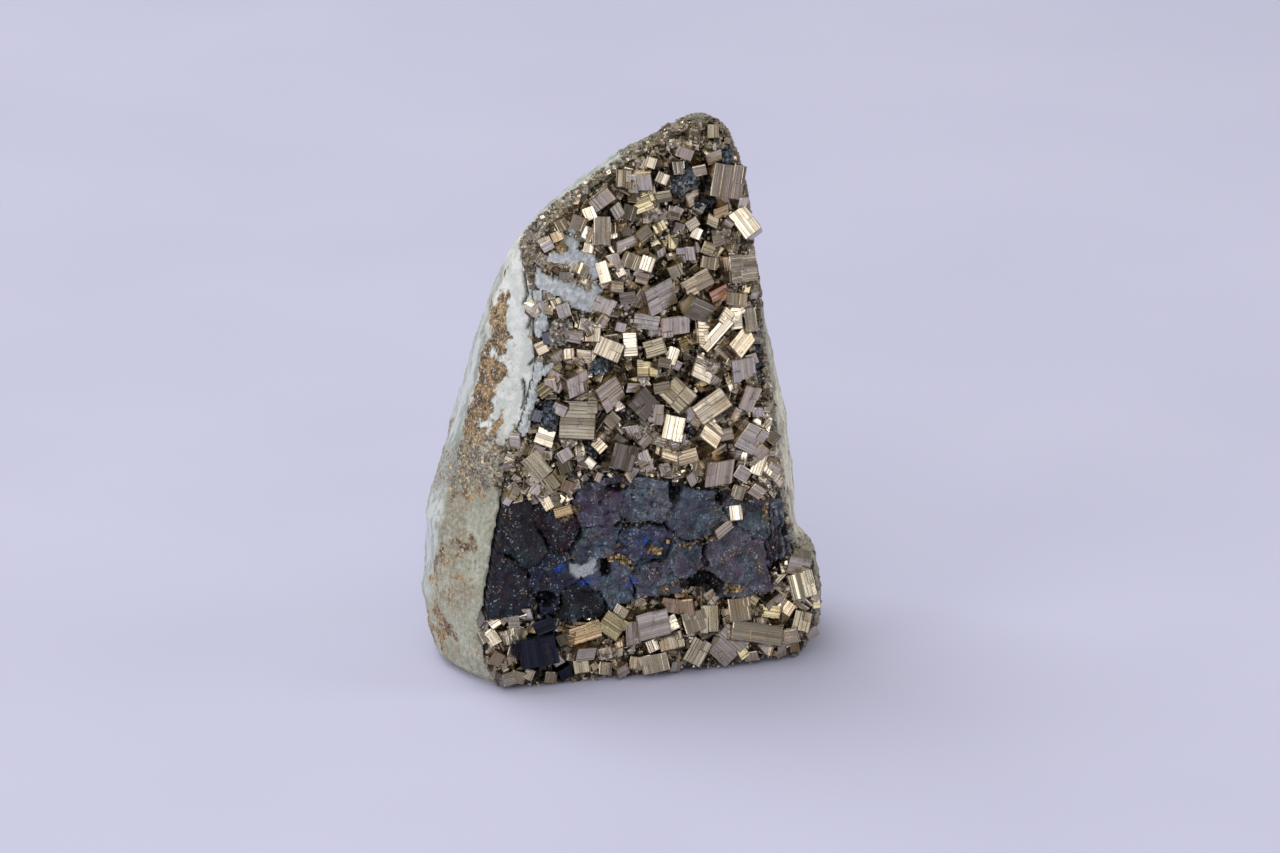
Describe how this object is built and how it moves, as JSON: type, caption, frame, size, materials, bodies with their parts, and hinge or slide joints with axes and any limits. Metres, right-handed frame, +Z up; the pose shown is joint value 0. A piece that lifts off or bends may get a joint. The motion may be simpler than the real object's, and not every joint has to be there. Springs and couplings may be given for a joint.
{
  "type": "pyrite freeform",
  "caption": "Standing wedge of green-grey host rock with a leaning front crusted in striated pyrite cubes and crossed by a band of dark, tarnished sulphide plates.",
  "frame": {"origin": "on the flat foot, under the middle of the stone", "axes": "+Z up, -Y the way the crystal face looks, +X to its right as seen from the front"},
  "size_m": [0.0323, 0.0196, 0.0437],
  "materials": {
    "host_rock": "ground and worn smooth, pale clay coat with rust-brown stains",
    "pyrite": "bright metallic cube faces with fine growth stripes",
    "dark_sulphide": "blue-black tarnished plates with a satin metallic sheen"
  },
  "bodies": {
    "root": {"host_rock": "host_rock", "upper_pyrite_crystals": "pyrite", "dark_sulphide_band": "dark_sulphide", "lower_pyrite_crystals": "pyrite"}
  },
  "joints": []
}
